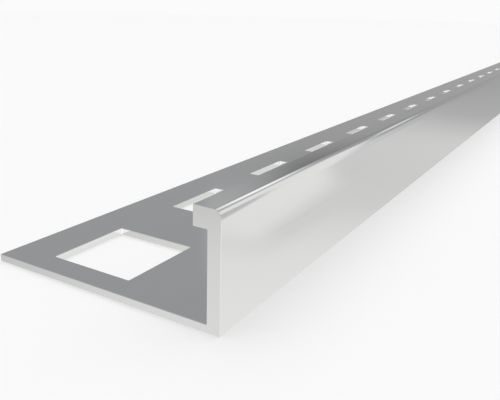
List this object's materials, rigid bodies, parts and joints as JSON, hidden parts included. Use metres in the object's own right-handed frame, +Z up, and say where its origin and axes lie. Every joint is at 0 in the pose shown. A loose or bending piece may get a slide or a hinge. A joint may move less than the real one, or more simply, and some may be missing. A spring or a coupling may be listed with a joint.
{
  "type": "tile edge trim",
  "caption": "Straight extruded aluminium tile edge trim: an L-section with a square-punched anchoring leg, an upright web and a thickened head with a rounded visible edge.",
  "frame": {"origin": "on the underside, at the middle of the bar's length and of its width", "axes": "+X along the bar, -Y out of the finished face with the anchoring leg towards +Y, +Z up from the bed to the top of the head"},
  "size_m": [1, 0.027, 0.011],
  "materials": {
    "aluminium": "bright anodised on the finished face and head, mill finish on the leg"
  },
  "bodies": {
    "root": {"trim_profile": "aluminium"}
  },
  "joints": []
}
